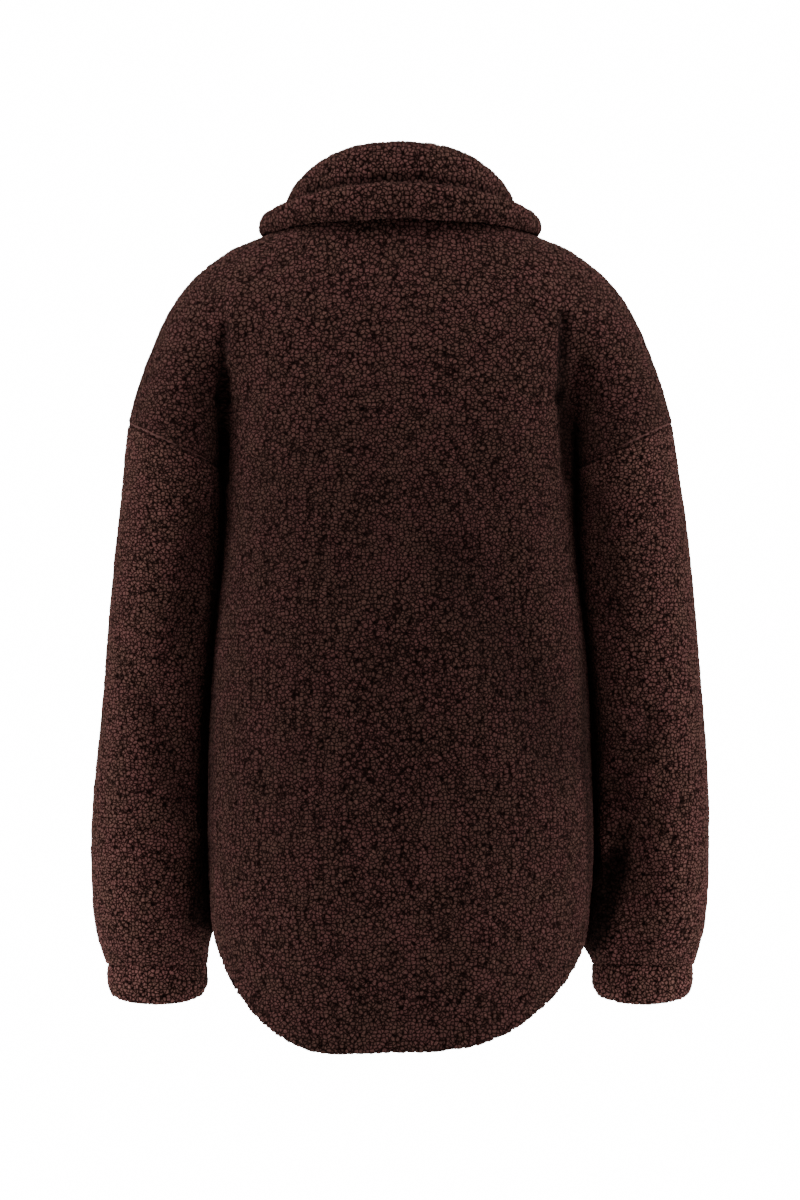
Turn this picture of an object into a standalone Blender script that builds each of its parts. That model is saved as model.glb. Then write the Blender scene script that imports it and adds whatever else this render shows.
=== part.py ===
"""A dark brown teddy jacket, hollow, in the shape it takes when it is worn.

The wearer faces -Y and +Z is up, so the wearer's left is +X. The origin is the
middle of the neck opening, level with the neck seam at the centre back.
Sizes and points are in millimetres, and add_mesh turns them into metres.
"""

import math
from collections import namedtuple

import bmesh
import bpy
import numpy as np

MM = 0.001

# Cloth
WALL = 7.0                 # backing and pile together
SEAM_GAP = 0.35            # between neighbouring pieces
HALF_GAP = SEAM_GAP / 2

# Columns of points: from a centre line to the underarm crease, then over the sleeve cap
TORSO_COLUMNS = 12
CAP_COLUMNS = 9
SIDE_COLUMN = TORSO_COLUMNS + CAP_COLUMNS
LOWER_ROWS = 16
SLEEVE_ROWS = 19
CURVE_STEPS = 240          # points on a section before they are spread evenly

# Underarm, where the crease between torso and sleeve cap has become a seam
UNDERARM_X = 157.0
UNDERARM_Z = -247.0
CREASE_SHARE = 0.72        # place of the crease, as a share of a narrow ring's half width
CREASE_DROP_FIRST = 0.55   # how much of a ring's drop is left at the crease, on the first ring
TORSO_POWER = 2.8
CAP_INNER_X = 159.0
CAP_OUTER_X = 244.0
CAP_HALF_DEPTH = 84.0
CAP_POWER = 2.7
CAP_START = 3.0            # the cap leaves the crease at this many times the crease's depth

# Centre front
LAP = 18.0                 # how far each front passes the centre line
LAP_STEP = WALL + 2.0      # how far the under front lies inside the upper one, also where they slope
LAP_STEP_FULL = 28.0
LAP_STEP_END = 52.0

# Hem, a curved shirt tail
HEM_SIDE_Z = -654.0
HEM_BACK_Z = -763.5
HEM_FRONT_Z = -743.0
HEM_FLAT_SHARE = 0.27      # share of each half that stays nearly level at the middle
HEM_ROUND_POWER = 2.9      # how evenly the middle of the tail is rounded
HEM_BACK_SKEW = 5.5        # the back's tail hangs this much lower on the left and higher on the right

# Cuffs
CUFF_CENTRE_X = 219.5
CUFF_CENTRE_Y = -45.0
CUFF_TOP_Z = -692.0
CUFF_WALL = 8.0
CUFF_GATHERS = 20
CUFF_GATHER_DEPTH = 0.9

# Press studs
STUD_HEIGHTS = (-150.0, -275.0, -400.0, -525.0, -650.0)
STUD_RADIUS = 7.5
STUD_DEPTH = 3.6
STUD_EDGE = 1.2
STUD_SEAT = 0.5

# A body ring from the neck seam to the armhole: heights and reach at the side, back and front
Ring = namedtuple("Ring", "side_z half_width back_z back_y front_z front_y power crease")
BODY_RINGS = [
    Ring(-18, 78, 0, 62, -85, 85, 2.00, 0.00),
    Ring(-30, 104, -14, 68, -94, 90, 2.00, 0.00),
    Ring(-40, 128, -28, 75, -103, 94, 2.00, 0.00),
    Ring(-48, 150, -42, 82, -112, 98, 2.05, 0.00),
    Ring(-59, 166, -57, 88, -121, 102, 2.10, 0.00),
    Ring(-76, 187, -77, 96, -131, 107, 2.20, 0.00),
    Ring(-94, 200, -98, 103, -142, 112, 2.30, 0.02),
    Ring(-112, 208, -120, 110, -154, 116, 2.40, 0.08),
    Ring(-130, 212, -144, 116, -168, 119, 2.50, 0.22),
    Ring(-148, 214, -169, 120, -185, 121, 2.50, 0.40),
    Ring(-166, 216, -195, 123, -204, 123, 2.50, 0.60),
    Ring(-186, 216, -221, 125, -225, 124, 2.50, 0.82),
    Ring(-206, 244, -247, 125, -247, 125, 2.50, 1.00),
]

# The torso below the armholes
Torso = namedtuple("Torso", "z half_width back front power")
TORSO = [
    Torso(-771, 152.0, 121, 120, 2.6),
    Torso(-688, 163.0, 125, 125, 2.6),
    Torso(-661, 168.0, 126, 127, 2.6),
    Torso(-598, 172.5, 128, 130, 2.6),
    Torso(-544, 172.0, 128, 131, 2.6),
    Torso(-472, 170.5, 127, 131, 2.6),
    Torso(-400, 165.5, 126, 130, 2.7),
    Torso(-328, 158.0, 125, 128, 2.8),
    Torso(-247, 155.0, 125, 125, 2.8),
]

# The left sleeve, and the right one mirrored
Sleeve = namedtuple("Sleeve", "z inner_x outer_x centre_y half_depth power")
SLEEVE = [
    Sleeve(-692, 174.5, 266.0, -45, 43, 2.1),
    Sleeve(-680, 173.5, 271.0, -44, 52, 2.2),
    Sleeve(-661, 172.0, 275.5, -43, 60, 2.3),
    Sleeve(-634, 172.5, 278.0, -42, 64, 2.4),
    Sleeve(-598, 174.0, 279.0, -40, 67, 2.4),
    Sleeve(-544, 173.5, 278.5, -36, 69, 2.45),
    Sleeve(-472, 172.0, 273.5, -31, 71, 2.5),
    Sleeve(-400, 167.0, 267.0, -24, 74, 2.5),
    Sleeve(-328, 160.0, 259.5, -14, 78, 2.5),
    Sleeve(-262, 158.8, 249.5, -4, 82, 2.6),
    Sleeve(-226, CAP_INNER_X, CAP_OUTER_X, 0, CAP_HALF_DEPTH, CAP_POWER),
]

# A cuff's rings, which tilt towards the hand: lower at the back of the arm by tilt
Cuff = namedtuple("Cuff", "z half_width half_depth tilt")
CUFF = [
    Cuff(-692.4, 43.5, 42.0, 0.0),
    Cuff(-698.0, 44.5, 43.5, 1.5),
    Cuff(-706.0, 44.8, 44.0, 4.0),
    Cuff(-714.0, 43.8, 43.5, 7.0),
    Cuff(-718.5, 41.0, 41.0, 8.5),
]

# The collar's folded section: out from and up from the neck seam, at back, side and front.
# A fold with crest 1 keeps its back values far round to the sides, and one with crest 0 eases off at once.
Fold = namedtuple("Fold", "name back_out back_up side_out side_up front_out front_up crest")
COLLAR = [
    Fold("base inside", -7.0, 0.0, -7.0, 0.0, -7.0, 0.0, 1.0),
    Fold("stand inside", -7.0, 16.0, -6.0, 9.0, -7.0, 8.0, 1.0),
    Fold("stand inside, high", -5.0, 34.0, -1.0, 18.0, -4.0, 16.0, 1.0),
    Fold("roll inside", 0.0, 41.0, 6.0, 22.0, 1.0, 22.0, 1.0),
    Fold("roll top", 7.0, 44.5, 13.0, 25.0, 7.0, 25.0, 1.0),
    Fold("roll outside", 14.0, 40.0, 19.0, 21.0, 14.0, 22.0, 1.0),
    Fold("fall, high", 18.0, 30.0, 23.0, 15.0, 19.0, 13.0, 1.0),
    Fold("fall, low", 19.5, 18.0, 27.0, 9.0, 23.0, 3.0, 0.7),
    Fold("ledge", 22.5, 12.0, 33.0, 6.0, 26.0, -6.0, 0.4),
    Fold("edge top", 28.5, 5.0, 42.0, 1.0, 30.0, -15.0, 0.0),
    Fold("edge outside", 31.5, -6.0, 49.0, -7.0, 34.0, -25.0, 0.0),
    Fold("edge low", 30.0, -18.0, 50.0, -13.5, 34.0, -33.0, 0.0),
    Fold("edge bottom", 23.5, -24.5, 46.0, -17.3, 30.0, -38.0, 0.0),
    Fold("edge inside", 16.0, -22.5, 39.0, -13.8, 25.0, -34.0, 0.0),
    Fold("edge inside, high", 13.0, -9.0, 34.0, -8.5, 22.0, -25.0, 0.0),
    Fold("fall inside, low", 11.0, 6.0, 26.0, -2.0, 18.0, -12.0, 0.4),
    Fold("fall inside, high", 9.0, 22.0, 19.0, 5.0, 13.0, 0.0, 0.7),
    Fold("under the roll", 6.0, 34.0, 12.0, 13.0, 8.0, 11.0, 1.0),
    Fold("stand outside", 3.5, 20.0, 5.0, 8.0, 3.0, 7.0, 1.0),
    Fold("base outside", 0.0, 0.0, 0.0, 0.0, 0.0, 0.0, 1.0),
]
COLLAR_FIRST_COLUMN = 3    # the collar starts this many neck columns from the centre front
COLLAR_COLUMN_STEP = 2
COLLAR_CREST_END = 0.4     # the roll keeps its full height up to this share of the way to the side
COLLAR_EASE_POWER = 0.8    # how soon the edge eases off from its back values
COLLAR_EDGE_LIFT = 4.0     # how much the shoulder's slope lifts the edge between the back and the side

# Soft folds of the cloth: a trough or ridge along a line, pushed the way the cloth faces there
Crease = namedtuple("Crease", "start end reach depth push")
CREASES = [
    # back panel
    Crease((-50, 125, -212), (-101, 125, -336), 15, -5.0, (0, 1, 0)),
    Crease((-101, 125, -336), (-130, 122, -465), 17, -6.0, (0, 1, 0)),
    Crease((-45, 126, -260), (-73, 127, -437), 17, 3.5, (0, 1, 0)),
    Crease((118, 108, -127), (46, 120, -189), 12, -2.5, (0, 1, 0)),
    Crease((0, 127, -450), (0, 124, -758), 26, -2.5, (0, 1, 0)),
    Crease((70, 126, -340), (-60, 126, -334), 10, -2.0, (0, 1, 0)),
    Crease((112, 118, -600), (128, 108, -700), 20, -3.0, (0, 1, 0)),
    Crease((-60, 126, -560), (-72, 122, -730), 22, 2.5, (0, 1, 0)),
    # left sleeve and cap
    Crease((188, 86, -140), (172, 70, -202), 9, -5.0, (0.3, 0.95, 0)),
    Crease((240, 20, -424), (196, 30, -470), 13, -6.0, (0.5, 0.85, 0)),
    Crease((262, -20, -505), (240, 10, -572), 16, 3.0, (0.8, 0.6, 0)),
    Crease((256, -10, -628), (196, 10, -678), 13, -6.0, (0.3, 0.95, 0)),
    Crease((268, -40, -430), (262, -70, -500), 14, -5.0, (0.9, -0.4, 0)),
    Crease((258, -18, -290), (273, -32, -490), 55, -4.8, (1, 0, 0)),
    # right sleeve and cap
    Crease((-176, 88, -112), (-178, 82, -170), 9, 4.0, (-0.2, 0.98, 0)),
    Crease((-191, 84, -135), (-190, 80, -190), 8, -4.5, (-0.2, 0.98, 0)),
    Crease((-196, 34, -560), (-196, 22, -672), 20, -22.0, (0.3, 0.95, 0)),
    Crease((-242, 12, -515), (-246, 2, -640), 16, 4.0, (-0.6, 0.8, 0)),
    Crease((-206, 22, -612), (-262, -10, -690), 13, -6.0, (-0.4, 0.9, 0)),
    Crease((-266, -50, -440), (-258, -80, -520), 14, -5.0, (-0.9, -0.4, 0)),
    # fronts and the fronts of the sleeves
    Crease((70, -122, -210), (112, -122, -380), 16, -4.5, (0, -1, 0)),
    Crease((-78, -122, -230), (-118, -120, -400), 17, -5.0, (0, -1, 0)),
    Crease((96, -126, -470), (84, -122, -690), 24, -3.0, (0, -1, 0)),
    Crease((-90, -126, -500), (-96, -122, -680), 22, 3.0, (0, -1, 0)),
    Crease((196, -92, -430), (246, -88, -480), 13, -6.0, (0.3, -0.95, 0)),
    Crease((-190, -92, -420), (-244, -90, -468), 13, -6.0, (-0.3, -0.95, 0)),
    Crease((200, -96, -600), (246, -92, -660), 13, -5.0, (0.3, -0.95, 0)),
    Crease((-204, -96, -590), (-250, -92, -650), 13, -5.0, (-0.3, -0.95, 0)),
]

CREASE_END = 3.0           # reaches away from its line at which a fold has run out

FLEECE_COLOUR = (0.022, 0.010, 0.008, 1.0)
STUD_COLOUR = (0.016, 0.010, 0.009, 1.0)


def smooth_step(share):
    """Return an even start and stop between 0 and 1."""
    share = min(max(share, 0.0), 1.0)
    return share * share * (3.0 - 2.0 * share)


def table_value(rows, column, z):
    """Read a column of a table at height z on a smooth curve through its rows."""
    heights = [row.z for row in rows]
    values = [getattr(row, column) for row in rows]
    z = min(max(z, heights[0]), heights[-1])
    last = len(rows) - 1
    low = min(int(np.searchsorted(heights, z, side="right")) - 1, last - 1)

    def slope(index):
        before, after = max(index - 1, 0), min(index + 1, last)
        return (values[after] - values[before]) / (heights[after] - heights[before])

    span = heights[low + 1] - heights[low]
    t = (z - heights[low]) / span
    return (
        values[low] * (2 * t**3 - 3 * t**2 + 1)
        + values[low + 1] * (3 * t**2 - 2 * t**3)
        + slope(low) * span * (t**3 - 2 * t**2 + t)
        + slope(low + 1) * span * (t**3 - t**2)
    )


def oval(half_x, half_y, power, start, end):
    """Return points on a superellipse, from angle start to angle end, measured from +Y to +X."""
    angles = np.linspace(start, end, CURVE_STEPS)
    sines, cosines = np.sin(angles), np.cos(angles)
    x = half_x * np.sign(sines) * np.abs(sines) ** (2 / power)
    y = half_y * np.sign(cosines) * np.abs(cosines) ** (2 / power)
    return np.column_stack((x, y))


def spread(curve, count):
    """Return count + 1 points that lie evenly along a curve."""
    lengths = np.hypot(*np.diff(curve, axis=0).T)
    along = np.concatenate(([0.0], np.cumsum(lengths)))
    marks = np.linspace(0.0, along[-1], count + 1)
    return np.column_stack([np.interp(marks, along, curve[:, axis]) for axis in (0, 1)])


def armhole_height(x):
    """Return the height of the armhole seam, which climbs from the underarm to the cap's outside."""
    rise = BODY_RINGS[-1].side_z - UNDERARM_Z
    share = (abs(x) - UNDERARM_X) / (CAP_OUTER_X - UNDERARM_X)
    return UNDERARM_Z + rise * min(max(share, 0.0), 1.0)


def split_section(depth):
    """Return a quarter of the torso and half of the sleeve cap, as they part at the underarm."""
    crease_y = WALL + HALF_GAP
    torso = oval(UNDERARM_X, depth - crease_y, TORSO_POWER, 0.0, math.pi / 2) + (0.0, crease_y)
    half_width = (CAP_OUTER_X - CAP_INNER_X) / 2
    turn = oval(half_width, CAP_HALF_DEPTH, CAP_POWER, -math.pi / 2, math.pi / 2)
    turn = turn + (CAP_INNER_X + half_width, 0.0)
    turn = turn[turn[:, 1] > CAP_START * crease_y]
    cap = np.vstack(([UNDERARM_X, crease_y], turn, [CAP_OUTER_X, 0.0]))
    return spread(torso, TORSO_COLUMNS), spread(cap, CAP_COLUMNS)


def ring_quarter(index, ring, centre_z, depth):
    """Return one quarter of a body ring, from its centre line to the shoulder line, at +X and +Y."""
    hull = oval(ring.half_width, depth, ring.power, 0.0, math.pi / 2)
    crease_x = min(UNDERARM_X, CREASE_SHARE * ring.half_width)
    before = hull[hull[:, 0] <= crease_x]
    after = hull[hull[:, 0] >= crease_x]
    torso_split, cap_split = split_section(depth)
    torso = spread(before, TORSO_COLUMNS)
    cap = spread(after, CAP_COLUMNS)
    torso += (torso_split - torso) * ring.crease
    cap += (cap_split - cap) * ring.crease
    share = CREASE_DROP_FIRST + (1.0 - CREASE_DROP_FIRST) * index / (len(BODY_RINGS) - 1)
    crease_z = ring.side_z + (centre_z - ring.side_z) * share
    points = []
    for column, (x, y) in enumerate(torso[:-1]):
        along = column / TORSO_COLUMNS
        points.append((x, y, centre_z + (crease_z - centre_z) * along**2))
    for x, y in cap:
        along = (x - cap[0][0]) / (cap[-1][0] - cap[0][0])
        z = crease_z + (ring.side_z - crease_z) * min(max(along, 0.0), 1.0)
        points.append((x, max(y, HALF_GAP), z))
    return points


def hem_height(share, centre_z):
    """Return the hem's height at a share of the way from a centre line to the side seam."""
    corner = smooth_step((share - HEM_FLAT_SHARE) / (1.0 - HEM_FLAT_SHARE))
    curve = (corner + share**HEM_ROUND_POWER) / 2
    return centre_z + (HEM_SIDE_Z - centre_z) * curve


def lower_quarter(row, face, side, hem_centre_z):
    """Return one quarter of a ring below the armholes, from its centre line to the side seam."""
    skew = HEM_BACK_SKEW if face == "back" else 0.0
    points = []
    for column in range(TORSO_COLUMNS + 1):
        share = column / TORSO_COLUMNS
        hem_z = hem_height(share, hem_centre_z) - side * skew * math.sin(math.pi * share) ** 2
        z = UNDERARM_Z + (hem_z - UNDERARM_Z) * row / LOWER_ROWS
        half_width, depth, power = (table_value(TORSO, name, z) for name in ("half_width", face, "power"))
        x, y = spread(oval(half_width, depth, power, 0.0, math.pi / 2), TORSO_COLUMNS)[column]
        points.append((x, max(y, HALF_GAP), z))
    return points


def body_quarters(face, side=1):
    """Return all rings of one side of the back or of the front, as quarters at +X, with Y outwards."""
    hem_centre_z = HEM_BACK_Z if face == "back" else HEM_FRONT_Z
    upper = [
        ring_quarter(index, ring, getattr(ring, face + "_z"), getattr(ring, face + "_y"))
        for index, ring in enumerate(BODY_RINGS)
    ]
    lower = [lower_quarter(row, face, side, hem_centre_z) for row in range(1, LOWER_ROWS + 1)]
    return upper + lower


def crease_push(point):
    """Return how far the soft folds move a point of the cloth."""
    push = np.zeros(3)
    for crease in CREASES:
        start, end = np.array(crease.start, float), np.array(crease.end, float)
        line = end - start
        along = np.clip(np.dot(point - start, line) / np.dot(line, line), 0.0, 1.0)
        away = np.linalg.norm(point - start - along * line) / crease.reach
        if away < CREASE_END:
            direction = np.array(crease.push, float)
            push += direction / np.linalg.norm(direction) * crease.depth * math.exp(-away * away)
    return push


def crease_cloth(points):
    """Return the points with the soft folds in them."""
    return np.array([point + crease_push(np.array(point, float)) for point in points])


def corner_normals(points, quads):
    """Return the unit normal at each point of a surface of quads."""
    normals = np.zeros_like(points)
    for quad in quads:
        a, b, c, d = (points[index] for index in quad)
        face = np.cross(c - a, d - b)
        for index in quad:
            normals[index] += face
    return normals / np.linalg.norm(normals, axis=1)[:, None]


def open_edges(quads):
    """Return the directed edges that only one quad has."""
    edges = {(quad[i], quad[(i + 1) % 4]) for quad in quads for i in range(4)}
    return [(a, b) for a, b in edges if (b, a) not in edges]


def wall_faces(quads, count):
    """Return the faces of a closed wall: outside, inside and the rims between them."""
    inside = [tuple(index + count for index in reversed(quad)) for quad in quads]
    rims = [(b, a, a + count, b + count) for a, b in open_edges(quads)]
    return list(quads) + inside + rims


def cloth_material(name, colour, roughness, metallic=0.0):
    """Return a plain material."""
    material = bpy.data.materials.new(name)
    material.use_nodes = True
    shader = material.node_tree.nodes["Principled BSDF"]
    shader.inputs["Base Color"].default_value = colour
    shader.inputs["Roughness"].default_value = roughness
    shader.inputs["Metallic"].default_value = metallic
    return material


def add_mesh(name, points, faces, material, collection):
    """Add one closed mesh to the jacket."""
    mesh = bpy.data.meshes.new(name)
    mesh.from_pydata([tuple(MM * value for value in point) for point in points], [], faces)
    shape = bmesh.new()
    shape.from_mesh(mesh)
    bmesh.ops.triangulate(shape, faces=[face for face in shape.faces if len(face.verts) > 4])
    bmesh.ops.recalc_face_normals(shape, faces=shape.faces)
    shape.to_mesh(mesh)
    shape.free()
    mesh.materials.append(material)
    mesh.shade_smooth()
    mesh.set_sharp_from_angle(angle=math.radians(50))
    piece = bpy.data.objects.new(name, mesh)
    collection.objects.link(piece)
    return piece


def cap_inward():
    """Return the inward direction at each cap column of the armhole, level and at +X and +Y."""
    cap = split_section(BODY_RINGS[-1].back_y)[1]
    steps = np.gradient(cap, axis=0)
    inward = np.column_stack((steps[:, 1], -steps[:, 0]))
    inward /= np.linalg.norm(inward, axis=1)[:, None]
    inward[-1] = (-1.0, 0.0)
    return inward


def inner_points(rows, face_sign, quads, outer, at):
    """Return the inside of a body panel, a wall away from its outside, square at the seams."""
    normals = corner_normals(outer, quads)
    inner = outer - WALL * normals
    armhole_row = len(BODY_RINGS) - 1
    arm = cap_inward()
    for row, columns in enumerate(rows):
        for column, side in columns:
            index = at[row, column, side]
            x, y, z = outer[index]
            reach = abs(column)
            normal = normals[index].copy()
            at_shoulder = row <= armhole_row and reach == SIDE_COLUMN
            at_side_seam = row > armhole_row and reach == TORSO_COLUMNS
            if row in (0, len(rows) - 1):
                normal[2] = 0.0
            if at_shoulder or at_side_seam:
                normal[1] = 0.0
            inner[index] = outer[index] - WALL * normal / np.linalg.norm(normal)
            if row == armhole_row and reach == TORSO_COLUMNS:
                inner[index] = (x, y - face_sign * WALL, z)
            elif row == armhole_row and reach > TORSO_COLUMNS:
                step = arm[reach - TORSO_COLUMNS]
                place = outer[index] + WALL * np.array((side * step[0], face_sign * step[1], 0.0))
                inner[index] = (place[0], place[1], armhole_height(place[0]))
    return inner


def panel_points(face, face_sign, sides, step=0.0):
    """Lay the quarters of the back or of one front out as one panel.

    A row is a list of (column, side), where column counts from the centre line, and the lap's
    columns are negative. The result holds the rows, the points and each point's number.
    """
    quarters = {side: body_quarters(face, side) for side in sides}
    rows, points, at = [], [], {}
    for number, quarter in enumerate(quarters[sides[0]]):
        columns = []
        if len(sides) == 2:
            columns += [(column, -1) for column in range(len(quarter) - 1, 0, -1)]
            columns += [(column, 1) for column in range(len(quarter))]
        else:
            side = sides[0]
            columns += [(-2, side), (-1, side)]
            columns += [(column, side) for column in range(len(quarter))]
        across = np.array(quarter)
        for column, side in columns:
            if column >= 0:
                x, y, z = quarters[side][number][column]
            else:
                reach = -column * LAP / 2
                y, z = (np.interp(reach, across[:6, 0], across[:6, axis]) for axis in (1, 2))
                x = -reach
            fade = smooth_step((LAP_STEP_END - x) / (LAP_STEP_END - LAP_STEP_FULL))
            y -= step * fade
            at[number, column, side] = len(points)
            points.append((side * x, face_sign * y, z))
        rows.append(columns)
    return rows, points, at


def panel_quads(rows, at):
    """Join neighbouring rows of a panel, over the columns that both have."""
    quads = []
    for row in range(len(rows) - 1):
        for left, right in zip(rows[row], rows[row][1:]):
            corners = [(row, *left), (row, *right), (row + 1, *right), (row + 1, *left)]
            if all(corner in at for corner in corners):
                quads.append(tuple(at[corner] for corner in corners))
    return quads


def facing_out(points, quads, face_sign):
    """Return the quads turned so that the panel's outside faces away from the wearer."""
    normals = corner_normals(points, quads)
    if np.sum(normals[:, 1]) * face_sign < 0:
        return [tuple(reversed(quad)) for quad in quads]
    return quads


def body_panel(name, face, sides, material, collection, step=0.0):
    """Build the back or one front, with its share of both shoulders, as one wall of cloth."""
    face_sign = 1 if face == "back" else -1
    rows, points, at = panel_points(face, face_sign, sides, step=step)
    quads = panel_quads(rows, at)
    outer = crease_cloth(points)
    quads = facing_out(outer, quads, face_sign)
    inner = inner_points(rows, face_sign, quads, outer, at)
    faces = wall_faces(quads, len(outer))
    return add_mesh(name, np.vstack((outer, inner)), faces, material, collection)


def sleeve_ring(row, side):
    """Return one ring of a sleeve: from the underarm, over its back, its outside and its front."""
    share = row / SLEEVE_ROWS
    level = SLEEVE[-1].z + (CUFF_TOP_Z - SLEEVE[-1].z) * share
    names = ("inner_x", "outer_x", "centre_y", "half_depth", "power")
    inner_x, outer_x, centre_y, half_depth, power = (table_value(SLEEVE, name, level) for name in names)
    half_width = (outer_x - inner_x) / 2
    loop = oval(half_width, half_depth, power, -math.pi / 2, 1.5 * math.pi)
    loop = spread(loop, 2 * CAP_COLUMNS)[:-1] + (inner_x + half_width, centre_y)
    if row == 0:
        cap = split_section(BODY_RINGS[-1].back_y)[1][1:]
        front = [(x, -y) for x, y in cap[-2::-1]]
        loop = np.vstack(([CAP_INNER_X, 0.0], cap, front))
    points = []
    for x, y in loop:
        z = (armhole_height(x) - SEAM_GAP) * (1 - share) + CUFF_TOP_Z * share
        points.append((side * x, y, z))
    return points


def tube_wall(rings, wall, level_rows):
    """Return the points and quads of a tube's outside, and its inside points.

    In level_rows the inside lies level with the outside, so that seams stay square.
    """
    around = len(rings[0])
    outer = np.vstack([crease_cloth(ring) for ring in rings])
    quads = []
    for row in range(len(rings) - 1):
        for column in range(around):
            beside = (column + 1) % around
            quads.append((
                row * around + column, row * around + beside,
                (row + 1) * around + beside, (row + 1) * around + column,
            ))
    middle = outer.mean(axis=0)
    normals = corner_normals(outer, quads)
    outward = np.sum(normals[:, :2] * (outer - middle)[:, :2])
    if outward < 0:
        quads = [tuple(reversed(quad)) for quad in quads]
        normals = -normals
    for row in level_rows:
        for index in range(row * around, (row + 1) * around):
            normals[index][2] = 0.0
            normals[index] /= np.linalg.norm(normals[index])
    return outer, quads, outer - wall * normals


def sleeve(name, side, material, collection):
    """Build a sleeve from the armhole seam to the cuff."""
    rings = [sleeve_ring(row, side) for row in range(SLEEVE_ROWS + 1)]
    outer, quads, inner = tube_wall(rings, WALL, (0, SLEEVE_ROWS))
    around = 2 * CAP_COLUMNS
    arm = cap_inward()
    for column in range(around):
        if column == 0:
            step = (1.0, 0.0)
        elif column <= CAP_COLUMNS:
            step = arm[column]
        else:
            step = arm[around - column] * (1, -1)
        place = outer[column] + WALL * np.array((side * step[0], step[1], 0.0))
        inner[column] = (place[0], place[1], armhole_height(place[0]) - SEAM_GAP)
    faces = wall_faces(quads, len(outer))
    return add_mesh(name, np.vstack((outer, inner)), faces, material, collection)


def cuff(name, side, material, collection):
    """Build a cuff, a band drawn in by elastic, with a wave for each gather."""
    rings = []
    for ring in CUFF:
        points = []
        for step in range(2 * CUFF_GATHERS):
            angle = math.pi * step / CUFF_GATHERS
            wave = CUFF_GATHER_DEPTH * (-1) ** step
            x = CUFF_CENTRE_X + (ring.half_width + wave) * math.sin(angle)
            y = CUFF_CENTRE_Y + (ring.half_depth + wave) * math.cos(angle)
            points.append((side * x, y, ring.z - ring.tilt * math.cos(angle)))
        rings.append(points)
    outer, quads, inner = tube_wall(rings, CUFF_WALL, range(len(CUFF)))
    faces = wall_faces(quads, len(outer))
    return add_mesh(name, np.vstack((outer, inner)), faces, material, collection)


def collar_sections():
    """Return the collar's folded section at each station, from the left front to the right front."""
    back, front = (body_quarters(face)[0] for face in ("back", "front"))
    neck = [(x, -y, z, 2.0 - column / SIDE_COLUMN) for column, (x, y, z) in enumerate(front)]
    neck = neck[COLLAR_FIRST_COLUMN::COLLAR_COLUMN_STEP]
    rest = [(x, y, z, column / SIDE_COLUMN) for column, (x, y, z) in enumerate(back)]
    neck += rest[::-COLLAR_COLUMN_STEP][1:]
    half = neck + [(0.0, BODY_RINGS[0].back_y, BODY_RINGS[0].back_z, 0.0)]
    left = [(x, y, z, quarter) for x, y, z, quarter in half]
    right = [(-x, y, z, quarter) for x, y, z, quarter in reversed(half[:-1])]
    stations = left + right
    places = np.array([station[:2] for station in stations])
    steps = np.gradient(places, axis=0)
    sections = []
    for (x, y, z, quarter), step in zip(stations, steps):
        out = np.array((-step[1], step[0])) / np.hypot(*step)
        if np.dot(out, (x, y)) < 0:
            out = -out
        around = min(quarter, 1.0)
        kept = 1.0 - max(0.0, (around - COLLAR_CREST_END) / (1.0 - COLLAR_CREST_END)) ** 2
        eased = max(math.cos(around * math.pi / 2), 0.0) ** COLLAR_EASE_POWER
        lift = COLLAR_EDGE_LIFT * math.sin(math.pi * around**2) ** 2
        forward = math.cos(min(2.0 - quarter, 1.0) * math.pi / 2) ** 2
        section = []
        for fold in COLLAR:
            share = eased + (kept - eased) * fold.crest
            away = fold.side_out
            away += (fold.back_out - fold.side_out) * share + (fold.front_out - fold.side_out) * forward
            up = fold.side_up
            up += (fold.back_up - fold.side_up) * share + (fold.front_up - fold.side_up) * forward
            up += lift * (1.0 - fold.crest)
            section.append((x + out[0] * away, y + out[1] * away, z + up + 2 * SEAM_GAP))
        sections.append(section)
    return sections


def collar(material, collection):
    """Build the turned-down collar, with its thick turned edge."""
    sections = collar_sections()
    around = len(COLLAR)
    points = [point for section in sections for point in section]
    faces = []
    for station in range(len(sections) - 1):
        for column in range(around):
            beside = (column + 1) % around
            first, second = station * around, (station + 1) * around
            faces.append((first + column, first + beside, second + beside, second + column))
    faces.append(tuple(range(around)))
    faces.append(tuple(range((len(sections) - 1) * around, len(sections) * around)))
    return add_mesh("collar", points, faces, material, collection)


def stud(number, height, material, collection):
    """Build a press stud's cap, seated on the lapped front."""
    line = np.array([(quarter[0][1], quarter[0][2]) for quarter in body_quarters("front")])
    line = line[::-1]
    y = np.interp(height, line[:, 1], line[:, 0])
    low, high = (np.interp(height + offset, line[:, 1], line[:, 0]) for offset in (-STUD_RADIUS, STUD_RADIUS))
    tilt = math.atan2(low - high, 2 * STUD_RADIUS)
    away = STUD_SEAT + STUD_DEPTH / 2
    place = (0.0, -y - away * math.cos(tilt), height + away * math.sin(tilt))
    bpy.ops.mesh.primitive_cylinder_add(
        vertices=20, radius=STUD_RADIUS * MM, depth=STUD_DEPTH * MM,
        location=[MM * value for value in place],
        rotation=(math.pi / 2 - tilt, 0.0, 0.0),
    )
    piece = bpy.context.object
    piece.name = piece.data.name = f"stud_{number}"
    bevel = piece.modifiers.new("edge", "BEVEL")
    bevel.width = STUD_EDGE * MM
    bevel.segments = 2
    bevel.limit_method = "ANGLE"
    piece.data.materials.append(material)
    for holder in piece.users_collection:
        holder.objects.unlink(piece)
    collection.objects.link(piece)
    return piece


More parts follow.
